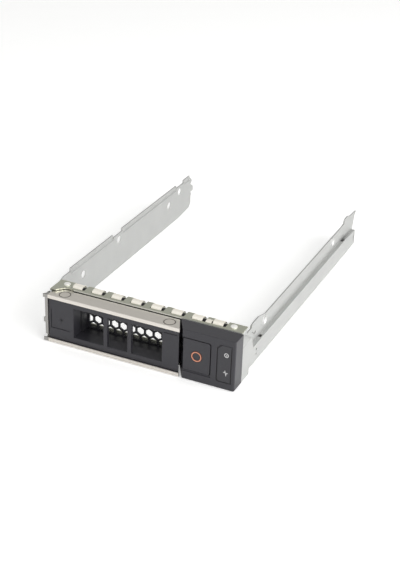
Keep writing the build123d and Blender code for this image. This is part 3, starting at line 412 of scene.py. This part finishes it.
# The button's ring is a separate terracotta moulding, pressed into a groove. Its two borders are
# painted dark red-brown, as painted shade where the groove's walls meet it.
ring_low, ring_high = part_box("button_ring")
ring_radius = (ring_high[0] - ring_low[0]) / 2
ring_centre = ((ring_low[0] + ring_high[0]) / 2, 0.0, (ring_low[2] + ring_high[2]) / 2)
front_plane = (1.0, 0.0, 1.0)
outer_inset, inner_inset, border_fade = 0.00022, 0.00056, 0.00012
outer_border, inner_border = ring_radius - outer_inset, ring_radius - inner_inset
border_shade = (0.20, 0.062, 0.036)
ring_colour = grained_plastic("ring_terracotta", (0.66, 0.29, 0.19), 0.45)
paint_shade_round(ring_colour, front_plane, ring_centre, outer_border, border_fade, border_shade)
paint_shade_round(ring_colour, front_plane, ring_centre, inner_border, -border_fade, border_shade)
finish_node("button_ring", ring_colour)

# The status window is a smoked clear plate, pressed into the bezel from the front. It is polished,
# so it is a shade glossier than the bezel round it.
polished_height = 0.00001
finish_node(
    "status_window",
    grained_plastic("smoked_window", (0.036, 0.0355, 0.041), 0.28, polished_height),
)

# Two icons are printed on the window in pale ink: a disk above and a pulse below. Each is a line
# of even width, two hundredths of a millimetre proud of the window's face.
window_low, window_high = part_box("status_window")
line_proud = 0.00002
line_y = window_low[1] - line_proud
disk_x, disk_z = 0.0484, 0.0188
disk_radius = 0.00098
disk_points = 48
disk_turns = np.linspace(0.0, 2.0 * math.pi, disk_points, endpoint=False)
disk_line = np.column_stack(
    [disk_x + disk_radius * np.cos(disk_turns), disk_z + disk_radius * np.sin(disk_turns)]
)
hub_reach = 0.0005
hub_line = np.array([(disk_x, disk_z - hub_reach), (disk_x, disk_z), (disk_x + hub_reach, disk_z)])
pulse_line = np.array(
    [
        (0.0471, 0.0093),
        (0.0477, 0.0093),
        (0.0480, 0.0101),
        (0.0485, 0.0080),
        (0.0488, 0.0092),
        (0.0495, 0.0092),
    ]
)


def face_line(name, line, width, closed, line_finish):
    """A flat line of even width along points in the window's plane.

    Each point moves half the width to either side, along the mean of its two neighbours'
    normals, lengthened by one over the cosine of half the bend so the edges stay parallel.
    """
    ahead = np.roll(line, -1, axis=0) - line
    behind = line - np.roll(line, 1, axis=0)
    if not closed:
        ahead[-1] = behind[-1]
        behind[0] = ahead[0]
    ahead /= np.linalg.norm(ahead, axis=1, keepdims=True)
    behind /= np.linalg.norm(behind, axis=1, keepdims=True)
    across = np.column_stack([-(ahead + behind)[:, 1], (ahead + behind)[:, 0]])
    across *= width / (1.0 + np.sum(ahead * behind, axis=1, keepdims=True)) / 2.0
    edges = np.stack([line + across, line - across], axis=1).reshape(-1, 2)
    points = np.column_stack([edges[:, 0], np.full(len(edges), line_y), edges[:, 1]])
    near = np.arange(len(line) if closed else len(line) - 1) * 2
    far = (near + 2) % len(edges)
    faces = np.column_stack([near, near + 1, far + 1, far])
    printed = add_piece(name, points, faces.tolist(), line_finish)
    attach(printed, "tray")


window_ink = grained_plastic("window_ink", (0.55, 0.55, 0.55), 0.5)
face_line("disk_icon", disk_line, width=0.00042, closed=True, line_finish=window_ink)
face_line("disk_icon_hub", hub_line, width=0.00035, closed=False, line_finish=window_ink)
face_line("pulse_icon", pulse_line, width=0.00036, closed=False, line_finish=window_ink)

# A black line is painted on the face just inside the window's edge on three sides, as painted shade
# standing in for the shadow in the groove round the window.
edge_inset = 0.00014
edge_left, edge_right = window_low[0] + edge_inset, window_high[0] - edge_inset
edge_bottom, edge_top = window_low[2] + edge_inset, window_high[2] - edge_inset
top_corner_cut, bottom_corner_cut, right_stop = 0.0019, 0.0008, 0.0009
edge_line = np.array(
    [
        (edge_left + top_corner_cut, edge_top),
        (edge_left, edge_top - top_corner_cut),
        (edge_left, edge_bottom + bottom_corner_cut),
        (edge_left + bottom_corner_cut, edge_bottom),
        (edge_right, edge_bottom),
        (edge_right, edge_top - right_stop),
    ]
)
groove_shade_black = grained_plastic("window_groove_painted_shade", (0.006, 0.006, 0.007), 0.5)
face_line("window_edge", edge_line, width=0.00030, closed=False, line_finish=groove_shade_black)

# The light pipes are clear acrylic rods. They run inside the cover, from the tail of the right arm
# to the back of the status window.
clear_acrylic, _, pipe_shader = blank_finish("clear_acrylic")
pipe_shader.inputs["Base Color"].default_value = (0.93, 0.96, 0.96, 1.0)
pipe_shader.inputs["Roughness"].default_value = 0.08
pipe_shader.inputs["Transmission Weight"].default_value = 0.85
for pipe in ("drive_light_pipe", "fault_light_pipe"):
    finish_node(pipe, clear_acrylic)

# Table: a white plane that the front's underside and the right arm's tail rest on, so it
# leans by about a degree. It shows as plain white to the camera and keeps the soft shadow.
tail_rise, tail_reach = 0.0034, 0.170
table_lean = math.atan2(tail_rise, tail_reach)
underside_depth = 0.0088
table_pivot_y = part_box("front_bezel")[0][1] + underside_depth
table_half = 0.8
table_drop = 0.0001
whitening = 0.30
corner_signs = np.array([(-1, -1), (1, -1), (1, 1), (-1, 1)], dtype=float)
corner_xy = corner_signs * table_half + np.array([0.0, table_pivot_y])
corner_z = (corner_xy[:, 1] - table_pivot_y) * math.tan(table_lean) - table_drop
white_table, table_tree, table_shader = blank_finish("white_table")
table_shader.inputs["Base Color"].default_value = (0.95, 0.95, 0.95, 1.0)
table_shader.inputs["Roughness"].default_value = 0.7
table_shader.inputs["Emission Color"].default_value = (1.0, 1.0, 1.0, 1.0)
table_rays = table_tree.nodes.new("ShaderNodeLightPath")
table_whitening = table_tree.nodes.new("ShaderNodeMath")
table_whitening.operation = "MULTIPLY"
table_whitening.inputs[1].default_value = whitening
table_tree.links.new(table_rays.outputs["Is Camera Ray"], table_whitening.inputs[0])
table_tree.links.new(table_whitening.outputs["Value"], table_shader.inputs["Emission Strength"])
table = add_piece("table", np.column_stack([corner_xy, corner_z]), [(0, 1, 2, 3)], white_table)

# Soft studio light: a pale room that is white at the horizon and dimmer overhead, as under a soft
# ceiling. It shows as plain white to the camera and through clear plastic.
world = bpy.data.worlds.new("studio")
bpy.context.scene.world = world
world.use_nodes = True
studio = world.node_tree
room = studio.nodes["Background"]
room.inputs["Strength"].default_value = 1.0
sky_direction = studio.nodes.new("ShaderNodeTexCoord")
sky_parts = studio.nodes.new("ShaderNodeSeparateXYZ")
studio.links.new(sky_direction.outputs["Generated"], sky_parts.inputs["Vector"])
ceiling = studio.nodes.new("ShaderNodeValToRGB")
horizon, overhead = ceiling.color_ramp.elements
horizon.position, horizon.color = 0.12, (1.0, 1.0, 1.0, 1.0)
overhead.position, overhead.color = 0.45, (0.42, 0.42, 0.41, 1.0)
studio.links.new(sky_parts.outputs["Z"], ceiling.inputs["Fac"])
studio.links.new(ceiling.outputs["Color"], room.inputs["Color"])
white = studio.nodes.new("ShaderNodeBackground")
white.inputs["Color"].default_value = (1.0, 1.0, 1.0, 1.0)
white.inputs["Strength"].default_value = 1.0
rays = studio.nodes.new("ShaderNodeLightPath")
seen_through = studio.nodes.new("ShaderNodeMath")
seen_through.operation = "MAXIMUM"
studio.links.new(rays.outputs["Is Camera Ray"], seen_through.inputs[0])
studio.links.new(rays.outputs["Is Transmission Ray"], seen_through.inputs[1])
chooser = studio.nodes.new("ShaderNodeMixShader")
studio.links.new(seen_through.outputs["Value"], chooser.inputs["Fac"])
studio.links.new(room.outputs["Background"], chooser.inputs[1])
studio.links.new(white.outputs["Background"], chooser.inputs[2])
studio.links.new(chooser.outputs["Shader"], studio.nodes["World Output"].inputs["Surface"])


def soft_lamp(name, place, size, power):
    """A square lamp of a size in metres and a power in watts, aimed under the caddy's middle."""
    lamp = bpy.data.lights.new(name, "AREA")
    lamp.size = size
    lamp.energy = power
    holder = bpy.data.objects.new(name, lamp)
    holder.location = place
    x, y, z = place
    holder.rotation_euler = (math.atan2(math.hypot(x, y), z), 0.0, math.atan2(y, x) + math.pi / 2)
    bpy.context.scene.collection.objects.link(holder)


soft_lamp("overhead", (0.0, -0.15, 0.85), size=1.0, power=1.6)
soft_lamp("front_above", (0.15, -0.95, 0.55), size=0.9, power=1.2)
soft_lamp("right_side", (0.95, -0.2, 0.32), size=1.3, power=14.0)

# Camera: where the photograph was taken from, above the right front corner, with a long lens and
# a slight roll.
camera_azimuth = math.radians(23.83)
camera_height = math.radians(27.50)
camera_roll = math.radians(2.22)
camera_place = (0.23097, -0.53859, 0.30674)
camera_data = bpy.data.cameras.new("camera")
camera_data.sensor_fit = "VERTICAL"
camera_data.sensor_height = 36.0
camera_data.lens = 75.92
camera = bpy.data.objects.new("camera", camera_data)
bpy.context.scene.collection.objects.link(camera)
bpy.context.scene.camera = camera
camera.matrix_world = (
    Matrix.Translation(camera_place)
    @ Matrix.Rotation(camera_azimuth, 4, "Z")
    @ Matrix.Rotation(math.pi / 2 - camera_height, 4, "X")
    @ Matrix.Rotation(camera_roll, 4, "Z")
)
bpy.context.scene.view_settings.view_transform = "Standard"
